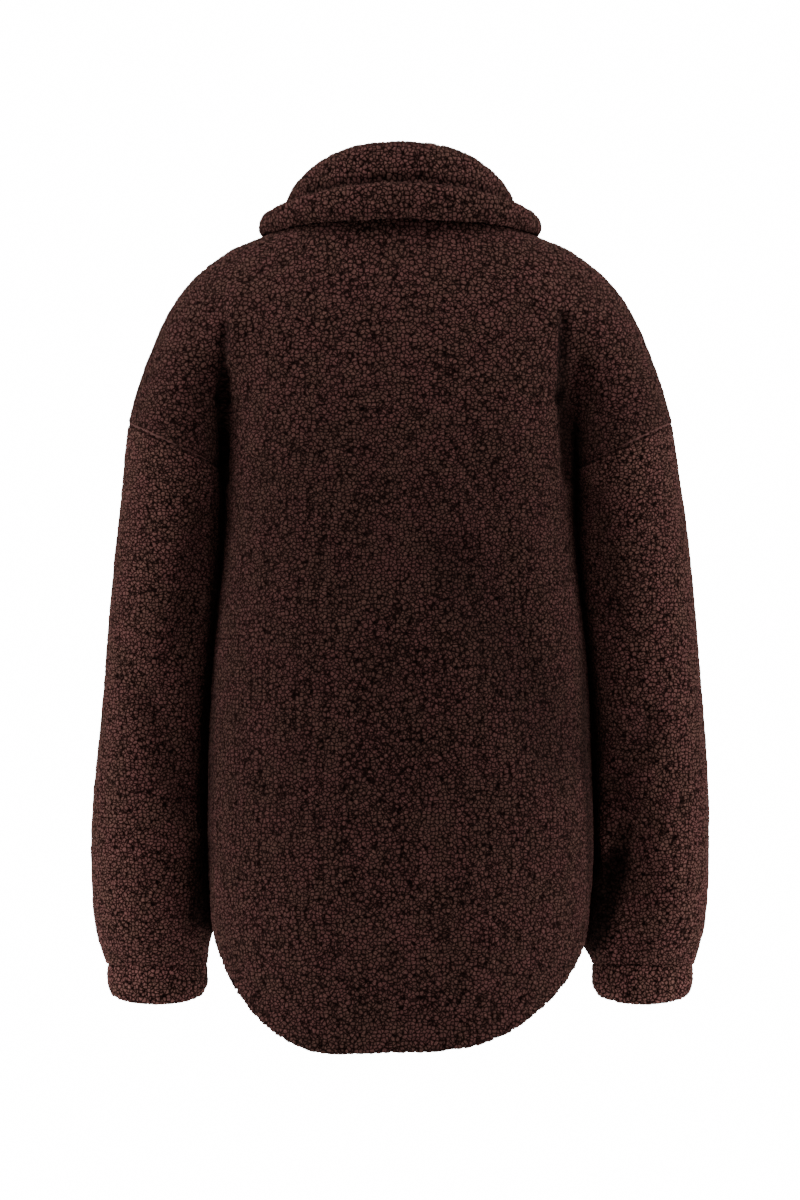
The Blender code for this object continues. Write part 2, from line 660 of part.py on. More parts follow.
def build_jacket():
    """Build every piece of the jacket."""
    for old in list(bpy.data.objects):
        bpy.data.objects.remove(old)
    collection = bpy.data.collections.new("teddy_jacket")
    bpy.context.scene.collection.children.link(collection)
    fleece = cloth_material("teddy_fleece", FLEECE_COLOUR, 0.95)
    metal = cloth_material("stud_enamel", STUD_COLOUR, 0.4, 0.6)
    body_panel("back", "back", (-1, 1), fleece, collection)
    body_panel("front_left", "front", (1,), fleece, collection, step=LAP_STEP)
    body_panel("front_right", "front", (-1,), fleece, collection)
    for side, word in ((1, "left"), (-1, "right")):
        sleeve(f"sleeve_{word}", side, fleece, collection)
        cuff(f"cuff_{word}", side, fleece, collection)
    collar(fleece, collection)
    for number, height in enumerate(STUD_HEIGHTS, 1):
        stud(number, height, metal, collection)


build_jacket()
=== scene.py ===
# %% [markdown]
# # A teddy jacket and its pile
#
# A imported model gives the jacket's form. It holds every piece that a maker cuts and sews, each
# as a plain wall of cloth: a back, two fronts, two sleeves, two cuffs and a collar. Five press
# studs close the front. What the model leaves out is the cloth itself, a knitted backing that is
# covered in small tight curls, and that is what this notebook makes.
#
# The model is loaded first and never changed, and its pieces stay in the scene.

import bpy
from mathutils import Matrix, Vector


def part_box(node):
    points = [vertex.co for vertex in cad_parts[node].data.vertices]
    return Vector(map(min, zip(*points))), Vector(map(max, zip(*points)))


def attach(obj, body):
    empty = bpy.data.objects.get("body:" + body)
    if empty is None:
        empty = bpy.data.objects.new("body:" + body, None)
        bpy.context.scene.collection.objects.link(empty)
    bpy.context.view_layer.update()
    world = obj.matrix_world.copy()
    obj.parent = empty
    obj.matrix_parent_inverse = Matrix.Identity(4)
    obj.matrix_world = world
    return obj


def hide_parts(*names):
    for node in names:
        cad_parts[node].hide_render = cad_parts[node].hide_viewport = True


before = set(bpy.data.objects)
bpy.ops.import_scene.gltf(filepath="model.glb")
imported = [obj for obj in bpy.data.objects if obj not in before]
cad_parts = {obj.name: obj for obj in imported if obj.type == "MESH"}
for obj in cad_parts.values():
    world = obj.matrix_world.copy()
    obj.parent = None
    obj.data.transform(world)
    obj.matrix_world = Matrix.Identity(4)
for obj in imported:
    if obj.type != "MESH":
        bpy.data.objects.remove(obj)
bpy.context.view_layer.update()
print("pieces in the model:", sorted(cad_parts))

# %% Other modules, and the unit of the measures
import math

import bmesh
import bpy
import numpy as np
from mathutils import Matrix, Vector
from mathutils.bvhtree import BVHTree
from mathutils.kdtree import KDTree

MM = 0.001
CLOTH_NODES = [
    "back", "front_left", "front_right", "sleeve_left", "sleeve_right",
    "cuff_left", "cuff_right", "collar",
]
print("cloth pieces:", len(CLOTH_NODES))

# %% [markdown]
# ## Sums in a node tree
#
# Blender's shaders and its Geometry Nodes are both trees of nodes, and both can do sums. Written
# as nodes, a sum is hard to read. The class below wraps one output of a node, so that `a * b + 1`
# adds the Math nodes by itself. Every other node comes from one method that takes the node's type,
# its settings and what goes into its sockets. The same recipe for the curls can then be given to
# both kinds of tree, and the colour of the pile falls exactly on its relief.

# %% A socket that can be added and multiplied
class Flow:
    """One output of a node in a tree, or the tree alone while it has no output yet."""

    def __init__(self, tree, output=None):
        self.tree = tree
        self.output = output

    def node(self, kind, settings=None, sockets=None, output=0):
        """Add a node, set it up, fill its sockets with values or links, and return an output."""
        made = self.tree.nodes.new(kind)
        for name, value in (settings or {}).items():
            setattr(made, name, value)
        for name, value in (sockets or {}).items():
            if isinstance(value, Flow):
                self.tree.links.new(value.output, made.inputs[name])
            else:
                made.inputs[name].default_value = value
        return Flow(self.tree, made.outputs[output] if len(made.outputs) else None)

    def sum_of(self, operation, first, second):
        """Add a Math node."""
        return self.node("ShaderNodeMath", {"operation": operation}, {0: first, 1: second})

    def __add__(self, other):
        return self.sum_of("ADD", self, other)

    def __radd__(self, other):
        return self.sum_of("ADD", other, self)

    def __sub__(self, other):
        return self.sum_of("SUBTRACT", self, other)

    def __rsub__(self, other):
        return self.sum_of("SUBTRACT", other, self)

    def __mul__(self, other):
        return self.sum_of("MULTIPLY", self, other)

    def __rmul__(self, other):
        return self.sum_of("MULTIPLY", other, self)

    def __pow__(self, other):
        return self.sum_of("POWER", self, other)

    def clamped(self):
        """Return the value kept between 0 and 1."""
        return self.node("ShaderNodeClamp", {}, {0: self, 1: 0.0, 2: 1.0})

    def vector(self, operation, sockets):
        """Add a Vector Math node."""
        return self.node("ShaderNodeVectorMath", {"operation": operation}, sockets)


print("sums in node trees are ready")

# %% [markdown]
# ## The recipe for a curl
#
# Teddy cloth has no long hairs. Its yarn stands up in small rounded curls, about four
# millimetres across, pushed against each other, with dark gaps where they meet. They are a little
# larger on the top of the back, where the cloth is stretched least, and finer lower down.
#
# A Voronoi pattern has such cells. Its distance to the nearest edge is 0 in a gap and grows
# towards the middle of a cell, and the upper half of a circle turns that into a round back. Its
# distance to the middle of the cell rounds off the corners, where three curls leave a wider gap.
# To make the cells uneven, the place is first pushed about by a noise.

# %% The height of a curl
CURL_SIZE = 3.4 * MM       # one curl and its gap
CURL_TOP_SHARE = 0.12      # how much larger the curls are at the top of the jacket
CURL_TOP_Z = -0.05
CURL_FINE_Z = -0.36
CURL_DRIFT = 1.0           # how far the cells are pushed about, in curls
CURL_DRIFT_LENGTH = 1.7    # how slowly that changes, in curls
CURL_UNEVEN = 0.85         # how far the cells' middles lie off an even grid
CURL_EDGE = 0.20           # share of a cell over which a curl rises out of the gap
CORNER_NEAR = 0.42         # how far from its middle a curl starts to round off, in curls
CORNER_FAR = 0.80          # and where it ends
CORNER_LOSS = 0.3          # how much lower it is there, and how much darker it is painted, as shade


def curl_space(flow, place, size):
    """Return the place measured in curls, pushed about so that the cells are uneven."""
    height = flow.node("ShaderNodeSeparateXYZ", {}, {0: place}, 2)
    top = flow.node(
        "ShaderNodeMapRange", {"interpolation_type": "SMOOTHSTEP"},
        {0: height, 1: CURL_FINE_Z, 2: CURL_TOP_Z, 3: 1 / size, 4: 1 / (size * (1 + CURL_TOP_SHARE))},
    )
    curls = flow.vector("SCALE", {0: place, "Scale": top})
    scale = 1 / CURL_DRIFT_LENGTH
    noise = flow.node("ShaderNodeTexNoise", {}, {"Vector": curls, "Scale": scale, "Detail": 1.5}, 1)
    centred = flow.vector("SUBTRACT", {0: noise, 1: (0.5, 0.5, 0.5)})
    drift = flow.vector("SCALE", {0: centred, "Scale": CURL_DRIFT})
    return flow.vector("ADD", {0: curls, 1: drift})


def gap_distance(flow, curls, finer=1.0):
    """Return the distance to the nearest gap, in curls."""
    return flow.node(
        "ShaderNodeTexVoronoi", {"feature": "DISTANCE_TO_EDGE"},
        {"Vector": curls, "Scale": finer, "Randomness": CURL_UNEVEN},
    )


def cell_output(flow, curls, output):
    """Return an output of the pattern of cells: 0 is the distance to the middle, 1 is a colour."""
    sockets = {"Vector": curls, "Scale": 1.0, "Randomness": CURL_UNEVEN}
    return flow.node("ShaderNodeTexVoronoi", {}, sockets, output)


def corner_share(flow, curls):
    """Return 1 around the middle of a curl and less in the corners between curls."""
    share = flow.node(
        "ShaderNodeMapRange", {"interpolation_type": "SMOOTHSTEP"},
        {0: cell_output(flow, curls, 0), 1: CORNER_NEAR, 2: CORNER_FAR, 3: 1.0, 4: 0.0},
    )
    return (1 - CORNER_LOSS) + CORNER_LOSS * share


def round_back(distance, reach):
    """Return the upper half of a circle: 0 in a gap, 1 from the reach on."""
    rise = (distance * (1 / reach)).clamped()
    return (1 - (1 - rise) ** 2) ** 0.5


top_size = CURL_SIZE * (1 + CURL_TOP_SHARE)
print("a curl is", CURL_SIZE / MM, "mm across, and", round(top_size / MM, 1), "at the top")

# %% [markdown]
# ## Smooth forms
#
# Each piece of the model is a wall with flat faces a few centimetres long. A copy of it is
# joined at its corners, turned from triangles to quads and subdivided, which gives the soft form
# of cloth. Its cut edges, where the wall turns through a right angle, are creased first, so that
# neighbouring pieces still meet at their seams.
#
# The same sharp edges divide the faces into an outside, an inside and the cut edges between. The
# outside is the largest patch, because it lies further out, and the inside is the second.

# %% Copy and smooth a piece
SHARP_ANGLE = math.radians(58)
FORM_LEVELS = 2


def pick(piece):
    """Deselect everything, then select one object and make it the active one."""
    bpy.ops.object.select_all(action="DESELECT")
    piece.select_set(True)
    bpy.context.view_layer.objects.active = piece


def add_modifier(piece, kind, **settings):
    """Give a piece a modifier and apply it."""
    modifier = piece.modifiers.new(kind.lower(), kind)
    for name, value in settings.items():
        setattr(modifier, name, value)
    pick(piece)
    bpy.ops.object.modifier_apply(modifier=modifier.name)


def smooth_form(node):
    """Return a subdivided copy of one node of the model."""
    form = bpy.data.objects.new(f"form_{node}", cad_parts[node].data.copy())
    bpy.context.scene.collection.objects.link(form)
    pick(form)
    bpy.ops.mesh.customdata_custom_splitnormals_clear()
    bpy.ops.object.mode_set(mode="EDIT")
    bpy.ops.mesh.select_all(action="SELECT")
    bpy.ops.mesh.remove_doubles(threshold=0.01 * MM)
    bpy.ops.mesh.tris_convert_to_quads(face_threshold=math.radians(40), shape_threshold=math.radians(70))
    bpy.ops.mesh.select_mode(type="EDGE")
    bpy.ops.mesh.select_all(action="DESELECT")
    bpy.ops.mesh.edges_select_sharp(sharpness=SHARP_ANGLE)
    bpy.ops.transform.edge_crease(value=1.0)
    bpy.ops.object.mode_set(mode="OBJECT")
    add_modifier(form, "SUBSURF", levels=FORM_LEVELS, render_levels=FORM_LEVELS)
    return form


forms = {node: smooth_form(node) for node in CLOTH_NODES}
print("faces of the smooth forms:", {node: len(form.data.polygons) for node, form in forms.items()})

# %% Tell the outside from the inside
OUTSIDE, INSIDE, EDGE = 0, 1, 2
INSIDE_SHARE = 0.5         # a smaller patch than this share of the outside is a cut edge


def face_sides(form):
    """Return the side of every face, by spreading over all edges that aren't sharp."""
    shape = bmesh.new()
    shape.from_mesh(form.data)
    shape.faces.ensure_lookup_table()
    patch_of = np.full(len(shape.faces), -1)
    areas = []
    for start in shape.faces:
        if patch_of[start.index] >= 0:
            continue
        patch_of[start.index] = len(areas)
        area, waiting = 0.0, [start]
        while waiting:
            face = waiting.pop()
            area += face.calc_area()
            for edge in face.edges:
                if len(edge.link_faces) == 2 and edge.calc_face_angle() < SHARP_ANGLE:
                    for beside in edge.link_faces:
                        if patch_of[beside.index] < 0:
                            patch_of[beside.index] = len(areas)
                            waiting.append(beside)
        areas.append(area)
    shape.free()
    order = np.argsort(areas)[::-1]
    sides = np.full(len(patch_of), EDGE)
    sides[patch_of == order[0]] = OUTSIDE
    if areas[order[1]] > INSIDE_SHARE * areas[order[0]]:
        sides[patch_of == order[1]] = INSIDE
    return sides, areas[order[0]]


side_lists, cloth_areas = {}, {}
for node, form in forms.items():
    side_lists[node], cloth_areas[node] = face_sides(form)
print("cloth on the outside, in square metres:", {n: round(a, 4) for n, a in cloth_areas.items()})

# %% [markdown]
# ## Seams and free edges
#
# Where two pieces are sewn together, their outsides end within a millimetre of each other. Every
# other end of an outside is a free edge: the hem, the front edges and the mouth of a cuff. A
# dense line of points on each of them is enough to ask how far a place is from a seam.

# %% Lines of points along the seams
LINE_STEP = 0.8 * MM
SEAM_REACH = 1.6 * MM      # the outsides of sewn pieces end this close together


def tree_of(points):
    """Return a search tree over points."""
    tree = KDTree(len(points))
    for index, point in enumerate(points):
        tree.insert(point, index)
    tree.balance()
    return tree


def border_points(form, sides):
    """Return points along every edge between the outside and a cut edge."""
    mesh = form.data
    owners = {}
    for face, side in zip(mesh.polygons, sides):
        for key in face.edge_keys:
            owners.setdefault(key, []).append(side)
    points = []
    for (first, second), found in owners.items():
        if OUTSIDE in found and EDGE in found:
            start, end = mesh.vertices[first].co, mesh.vertices[second].co
            count = max(2, math.ceil((end - start).length / LINE_STEP))
            points += [start.lerp(end, step / count) for step in range(count)]
    return points


borders = {node: border_points(form, side_lists[node]) for node, form in forms.items()}
border_trees = {node: tree_of(points) for node, points in borders.items()}


def seam_points(node, neighbours):
    """Return the border points of a piece that are sewn to one of its neighbours."""
    trees = [border_trees[name] for name in neighbours]
    return [p for p in borders[node] if any(tree.find(p)[2] < SEAM_REACH for tree in trees)]


def others(node):
    """Return the names of all cloth pieces but this one."""
    return [name for name in CLOTH_NODES if name != node]


def free_points(node):
    """Return the border points of a piece that nothing is sewn to."""
    trees = [border_trees[name] for name in others(node)]
    return [p for p in borders[node] if all(tree.find(p)[2] >= SEAM_REACH for tree in trees)]


seams = {node: seam_points(node, others(node)) for node in CLOTH_NODES}
free_edges = {node: free_points(node) for node in CLOTH_NODES}
print("seam points:", {node: len(points) for node, points in seams.items()})
print("free edge points:", {node: len(points) for node, points in free_edges.items()})

# %% [markdown]
# ## Shells of cloth
#
# The curls are relief, not paint, so a shell needs a vertex every millimetre or two. A voxel
# remesh gives it an even net of such faces. Nobody looks closely at the inside, so its faces are
# thinned out afterwards, and nearly all of the triangles stay where the curls are.
#
# Sewn pieces pull into each other. Before the remesh, the cut edges are pushed out by a
# millimetre, so that neighbouring shells meet in a groove and no light comes through a seam.

# %% How fine each shell is
Shell = dict
SHELLS = {
    "back": Shell(voxel=2.29 * MM, triangles=194000),
    "front_left": Shell(voxel=2.05 * MM, triangles=126000),
    "front_right": Shell(voxel=2.05 * MM, triangles=126000),
    "sleeve_left": Shell(voxel=1.72 * MM, triangles=170000),
    "sleeve_right": Shell(voxel=1.72 * MM, triangles=170000),
    "cuff_left": Shell(voxel=1.5 * MM, triangles=26000),
    "cuff_right": Shell(voxel=1.5 * MM, triangles=26000),
    "collar": Shell(voxel=1.5 * MM, triangles=110000),
}
SEAM_OVERLAP = 1.0 * MM


def nearest_sides(piece, form, sides):
    """Return the side that each vertex of a piece lies on, as a number."""
    points = [vertex.co for vertex in form.data.vertices]
    faces = [tuple(face.vertices) for face in form.data.polygons]
    tree = BVHTree.FromPolygons(points, faces)
    return np.array([sides[tree.find_nearest(vertex.co)[2]] for vertex in piece.data.vertices])


def thin_inside(piece, inside, limit):
    """Merge faces on the inside of a shell until it has no more triangles than the limit."""
    group = piece.vertex_groups.new(name="thinned")
    group.add(np.flatnonzero(inside).tolist(), 1.0, "REPLACE")
    now = sum(len(face.vertices) - 2 for face in piece.data.polygons)
    add_modifier(piece, "DECIMATE", ratio=min(1.0, limit / now), vertex_group="thinned")
    piece.vertex_groups.clear()
    return now


def push_cut_edges(piece, sides, distance):
    """Move the cut edges of a piece out along their own faces."""
    ways = {}
    for face, side in zip(piece.data.polygons, sides):
        if side == EDGE:
            for index in face.vertices:
                ways[index] = ways.get(index, Vector()) + face.normal * face.area
    for index, way in ways.items():
        piece.data.vertices[index].co += way.normalized() * distance


def shell_of(node):
    """Return a fine shell on the form of a piece."""
    plan = SHELLS[node]
    piece = forms[node].copy()
    piece.data = forms[node].data.copy()
    push_cut_edges(piece, side_lists[node], SEAM_OVERLAP)
    piece.name = piece.data.name = f"{node}_cloth"
    bpy.context.scene.collection.objects.link(piece)
    voxel = plan["voxel"] * 1.0
    add_modifier(piece, "REMESH", mode="VOXEL", voxel_size=voxel, use_smooth_shade=True)
    sides = nearest_sides(piece, forms[node], side_lists[node])
    before = thin_inside(piece, sides == INSIDE, plan["triangles"])
    after = sum(len(face.vertices) - 2 for face in piece.data.polygons)
    print(f"{node}: {before} triangles, {after} after thinning, {np.mean(sides == INSIDE):.2f} inside")
    return piece


shells = {node: shell_of(node) for node in CLOTH_NODES}

# %% [markdown]
# ## Where the pile is pressed flat
#
# A seam presses the curls beside it down to the backing. The armhole seam shows most, as a thin
# line of bare, lighter cloth on the body's side. The hem is turned up and sewn 21 mm from its
# edge, which leaves a shallow groove.
#
# Where a sleeve hangs against the body, the pile of both fills the narrowest part of the gap
# between them, and each side swells by half of it. Pile that is shut in there, in the underarm
# folds or under the collar's edge, is painted nearly black as painted shade, where little light
# reaches. How far a place is shut in is the share of rays from it that soon meet other cloth.
#
# The collar is folded over and has a thick turned edge. Between the fall and the edge runs a
# groove, with a ledge under it that catches the light, and the pile in the groove is painted
# darker as painted shade.
#
# Wear leaves folds: a slit under each arm, a hollow where the right sleeve bends inwards above its
# cuff, and soft troughs elsewhere, like ones on the front. They are short straight lines in a
# table. Each sinks the cloth near it, on both sides of the wall so that the wall keeps its
# thickness, and paints the pile that lies deepest darker, as painted shade; some lines have no
# depth and only paint their shade. Two more lines raise the inner side of the sleeves, which rest
# against the body above the cuffs.
#
# Every vertex keeps what was found as attributes: its place before the curls are raised, how much
# the pile is pressed there, its distance from an armhole, which is negative on a sleeve, how far
# it swells or sinks, how much painted shade it gets where it is shut in or lies in a fold or the
# collar's groove, and whether it is on the inside.

# %% Measure the distance to seams and edges
SEAM_PRESS = 1.3 * MM
ARMHOLE_PRESS = 2.3 * MM
ARMHOLE_FAR = 30 * MM      # from here on the distance to an armhole no longer counts
HEM_TURN = 21 * MM
HEM_GROOVE = 1.9 * MM
HEM_PRESS = 0.75
SWELL_NEAR = 2.5 * MM      # pile this close to other pile, face to face, fills the gap
SWELL_FAR = 5 * MM
SWELL_TOUCH = 1.0 * MM     # and reaches this far into it
OPPOSED = -0.2             # product of the normals of two faces that face each other
SHUT_REACH = 70 * MM       # cloth within this distance shuts a place in
SHUT_RAYS = 20
SHUT_NONE = 0.66           # share of rays that meet cloth where the painted shade starts
SHUT_FULL = 0.90           # and where the painted shade is darkest
BODY_NODES = ("back", "front_left", "front_right")
SLEEVE_NODES = ("sleeve_left", "sleeve_right")
FACING = {
    "back": SLEEVE_NODES, "front_left": SLEEVE_NODES[:1], "front_right": SLEEVE_NODES[1:],
    "sleeve_left": ("back", "front_left"), "sleeve_right": ("back", "front_right"),
}
LEDGE_ANGLES = (0, 11, 34, 58, 85, 115, 143, 167, 180)     # around the neck, from the back
LEDGE_HEIGHTS = (12.5, 12.0, 8.5, -0.5, -11, -30, -69, -88, -90)
LEDGE_GROOVE = -5.4 * MM
LEDGE_WIDTH = 4.0 * MM
LEDGE_PAINTED_SHADE = 0.5           # painted shade of the pile in the groove
LEDGE_RIDGE = 1.6 * MM
LEDGE_RIDGE_DROP = 9.0 * MM
NECK_MIDDLE_Y = -10 * MM
FOLD_TURN = 2.5            # how quickly a fold ends where the cloth turns away
FOLD_PAST = 0.2            # and how far it goes on past there
FOLD_PAINTED_SHADE = (0.4, 1.5)     # half widths from its middle where a fold's painted shade is darkest and where it ends
# Each fold: 1 on the back, -1 on the front or 0 on the side that faces the body, its two ends as
# x and z, its half width and its depth in millimetres, and its painted shade at each end.
FOLDS = [
    (1, (155.7, -119), (158.4, -184), 5.5, -4.5, (0.55, 0.85)),
    (1, (158.4, -184), (156.6, -256), 5.5, -4.5, (0.85, 0.3)),
    (1, (-146.7, -110), (-144.9, -184), 5.5, -4.5, (0.55, 0.85)),
    (1, (-144.9, -184), (-150.3, -256), 5.5, -4.5, (0.85, 0.3)),
    (1, (162, -235), (170, -446), 6, 0.0, (0.3, 0.8)),
    (1, (170, -446), (175.5, -646), 6, 0.0, (0.8, 0.8)),
    (1, (-158.4, -235), (-167.4, -446), 6, 0.0, (0.3, 0.8)),
    (1, (-167.4, -446), (-174.6, -646), 6, 0.0, (0.8, 0.8)),
    (1, (143, -92), (150, -150), 9, 5.0, (0.0, 0.0)),
    (1, (-202, -569), (-194, -598), 8, -4.0, (0.4, 0.9)),
    (1, (-193, -602), (-179, -660), 14, -6.0, (0.95, 0.95)),
    (0, (-175, -630), (-174, -668), 16, 9.0, (0.9, 0.9)),
    (0, (176, -590), (175, -648), 16, 8.0, (0.9, 0.9)),
    (1, (187, -656), (175, -589), 10, -6.0, (0.4, 0.5)),
    (1, (175, -292), (196, -400), 12, -4.0, (0.2, 0.2)),
    (1, (225, -454), (193, -544), 14, -4.0, (0.2, 0.2)),
    (1, (-173, -274), (-191, -382), 12, -4.0, (0.2, 0.2)),
    (1, (-225, -472), (-193, -544), 13, -4.0, (0.2, 0.2)),
    (1, (-50, -328), (-144, -499), 30, -5.0, (0.25, 0.25)),
    (-1, (152, -125), (154, -240), 6.5, -5.0, (0.8, 0.3)),
    (-1, (-151, -120), (-153, -240), 6.5, -5.0, (0.8, 0.3)),
    (-1, (172, -300), (198, -412), 13, -4.0, (0.2, 0.2)),
    (-1, (-178, -285), (-196, -395), 12, -4.0, (0.2, 0.2)),
    (-1, (216, -470), (195, -560), 14, -5.0, (0.25, 0.25)),
    (-1, (-222, -460), (-196, -552), 13, -5.0, (0.25, 0.25)),
    (-1, (62, -300), (118, -480), 26, -4.0, (0.15, 0.15)),
    (-1, (-72, -350), (-120, -560), 26, -4.0, (0.15, 0.15)),
]


def distances(piece, points):
    """Return how far each vertex of a piece is from the nearest of the points."""
    if not points:
        return np.full(len(piece.data.vertices), 1.0)
    tree = tree_of(points)
    return np.array([tree.find(vertex.co)[2] for vertex in piece.data.vertices])


def soft_share(distance, near, far):
    """Return 1 up to the near distance and 0 from the far one on, with soft ends."""
    share = np.clip((far - distance) / (far - near), 0.0, 1.0)
    return share * share * (3.0 - 2.0 * share)


def fade(distance, reach):
    """Return 1 on a line and 0 from its reach on, with soft ends."""
    return soft_share(distance, 0.0, reach)


def facing_pile(node, piece):
    """Return how far each vertex is from pile of another piece that faces it."""
    apart = np.full(len(piece.data.vertices), 1.0)
    for name in FACING.get(node, ()):
        points = [vertex.co for vertex in forms[name].data.vertices]
        tree = BVHTree.FromPolygons(points, [tuple(face.vertices) for face in forms[name].data.polygons])
        for index, vertex in enumerate(piece.data.vertices):
            found, normal, face, away = tree.find_nearest(vertex.co, SWELL_FAR)
            if found is None or vertex.normal.dot(normal) > OPPOSED:
                continue
            if vertex.normal.dot(found - vertex.co) > 0:
                apart[index] = min(apart[index], away)
    return apart


def all_forms_tree():
    """Return one tree over the faces of all forms."""
    points, faces = [], []
    for form in forms.values():
        first = len(points)
        points += [vertex.co for vertex in form.data.vertices]
        faces += [tuple(index + first for index in face.vertices) for face in form.data.polygons]
    return BVHTree.FromPolygons(points, faces)


def shut_in(form, tree, ways):
    """Return the share of rays from each vertex of a form that soon meet cloth."""
    shares = np.zeros(len(form.data.vertices))
    for index, vertex in enumerate(form.data.vertices):
        start = vertex.co + 0.8 * MM * vertex.normal
        turn = vertex.normal.to_track_quat("Z", "Y").to_matrix()
        met = sum(tree.ray_cast(start, turn @ way, SHUT_REACH)[0] is not None for way in ways)
        shares[index] = met / len(ways)
    return shares


def painted_shade_places(piece, form, shares):
    """Return the painted shade of each vertex of a shell, from the nearest face of its form."""
    points = [vertex.co for vertex in form.data.vertices]
    faces = [tuple(face.vertices) for face in form.data.polygons]
    tree = BVHTree.FromPolygons(points, faces)
    of_face = np.array([np.mean([shares[index] for index in face]) for face in faces])
    found = np.array([of_face[tree.find_nearest(vertex.co)[2]] for vertex in piece.data.vertices])
    return soft_share(-found, -SHUT_FULL, -SHUT_NONE)


def collar_ledge(piece):
    """Return the groove and the ridge around the collar's outside, and the painted shade in the groove."""
    moves, painted_shades = np.zeros(len(piece.data.vertices)), np.zeros(len(piece.data.vertices))
    for index, vertex in enumerate(piece.data.vertices):
        x, y, z = vertex.co
        out = Vector((x, y - NECK_MIDDLE_Y, 0.0)).normalized()
        angle = math.degrees(math.atan2(abs(x), y - NECK_MIDDLE_Y))
        line = np.interp(angle, LEDGE_ANGLES, LEDGE_HEIGHTS) * MM
        groove = LEDGE_GROOVE * math.exp(-(((z - line) / LEDGE_WIDTH) ** 2))
        ridge = LEDGE_RIDGE * math.exp(-(((z - line + LEDGE_RIDGE_DROP) / LEDGE_WIDTH) ** 2))
        facing = min(max(2.0 * vertex.normal.dot(out), 0.0), 1.0)
        moves[index] = (groove + ridge) * facing
        # painted shade in the collar's groove
        painted_shades[index] = LEDGE_PAINTED_SHADE * facing * groove / LEDGE_GROOVE
    return moves, painted_shades


def folds(piece, inside):
    """Return how far the folds of wear move each vertex of a piece, and their painted shade."""
    flip = np.where(inside, -1.0, 1.0)
    places = np.array([vertex.co for vertex in piece.data.vertices])
    normals = np.array([vertex.normal for vertex in piece.data.vertices]) * flip[:, None]
    moves, painted_shades = np.zeros(len(places)), np.zeros(len(places))
    for side, start, end, width, depth, end_shades in FOLDS:
        first, last = np.array(start) * MM, np.array(end) * MM
        line = last - first
        along = np.clip((places[:, (0, 2)] - first) @ line / (line @ line), 0.0, 1.0)
        away = np.linalg.norm(places[:, (0, 2)] - first - along[:, None] * line, axis=1) / (width * MM)
        turned = side * normals[:, 1] if side else -np.sign(places[:, 0]) * normals[:, 0]
        facing = np.clip(FOLD_TURN * turned + FOLD_PAST, 0.0, 1.0)
        moves += depth * MM * np.exp(-(away**2)) * facing
        # painted shade along the fold, darkest near its middle
        shade = end_shades[0] + (end_shades[1] - end_shades[0]) * along
        painted_shades = np.maximum(painted_shades, shade * soft_share(away, *FOLD_PAINTED_SHADE) * facing)
    return moves * flip, painted_shades


def keep_attribute(piece, name, kind, values):
    """Store one value for each vertex under a name."""
    attribute = piece.data.attributes.new(name, kind, "POINT")
    field = "vector" if kind == "FLOAT_VECTOR" else "value"
    attribute.data.foreach_set(field, np.asarray(values, np.float32).ravel())


def mark_pile(node):
    """Store where the pile was, where it is pressed and what lies inside."""
    piece = shells[node]
    places = np.array([vertex.co for vertex in piece.data.vertices])
    sides = nearest_sides(piece, forms[node], side_lists[node])
    pressed = fade(distances(piece, seams[node]), SEAM_PRESS)
    armhole = np.full(len(places), ARMHOLE_FAR)
    if node in SLEEVE_NODES:
        armhole = -np.minimum(distances(piece, seam_points(node, BODY_NODES)), ARMHOLE_FAR)
    if node in BODY_NODES:
        armhole = np.minimum(distances(piece, seam_points(node, SLEEVE_NODES)), ARMHOLE_FAR)
        bare = fade(armhole - 0.4 * ARMHOLE_PRESS, ARMHOLE_PRESS)
        groove = fade(np.abs(distances(piece, free_edges[node]) - HEM_TURN), HEM_GROOVE)
        pressed = np.maximum(pressed, np.maximum(bare, HEM_PRESS * groove))
    keep_attribute(piece, "pile", "FLOAT_VECTOR", places)
    keep_attribute(piece, "pressed", "FLOAT", pressed)
    keep_attribute(piece, "armhole", "FLOAT", armhole)
    apart = facing_pile(node, piece)
    swell = soft_share(apart, SWELL_NEAR, SWELL_FAR) * (apart / 2 + SWELL_TOUCH)
    if node == "collar":
        moves, painted_shades = collar_ledge(piece)
        moves[sides == INSIDE] = 0.0
    else:
        moves, painted_shades = folds(piece, sides == INSIDE)
    swell[sides == INSIDE] = 0.0
    keep_attribute(piece, "swell", "FLOAT", swell + moves)
    # painted shade: pile that is shut in, in a fold or in the collar's groove is painted darker
    shares = shut_in(forms[node], cloth_tree, ray_ways)
    painted_shade = np.maximum(painted_shade_places(piece, forms[node], shares), painted_shades)
    keep_attribute(piece, "painted_shade", "FLOAT", painted_shade)
    keep_attribute(piece, "inside", "FLOAT", sides == INSIDE)


rng = np.random.default_rng(4)
ray_angles = 2 * math.pi * rng.random(SHUT_RAYS)
ray_leans = np.sqrt((np.arange(SHUT_RAYS) + 0.5) / SHUT_RAYS)
ray_ways = [
    Vector((lean * math.cos(angle), lean * math.sin(angle), math.sqrt(1 - lean * lean)))
    for angle, lean in zip(ray_angles, ray_leans)
]
cloth_tree = all_forms_tree()
for node in CLOTH_NODES:
    mark_pile(node)
print("attributes on each shell:", [a.name for a in shells["back"].data.attributes][:12])

# %% [markdown]
# ## Raise the curls
#
# A Geometry Nodes modifier moves every vertex of the outside along its normal: a little out on
# the back of a curl, and about two millimetres in from there at a gap, so that the form of the
# model stays the outline of the pile. Slower waves make clumps of curls that stand a little
# higher or lower, as they do on cloth that has been worn and brushed.

# %% Build and apply the relief
CURL_RISE = 1.3 * MM       # how far the back of a curl stands out of the form
CURL_DEPTH = 2.2 * MM      # from there down to a gap
CLUMP_SIZE = 11 * MM
CLUMP_DEPTH = 1.3 * MM
PRESSED_DEPTH = 1.3 * MM   # how far pressed pile lies inside the form
CURL_SIZES = {"collar": 0.94, "sleeve_left": 0.96, "sleeve_right": 0.96}


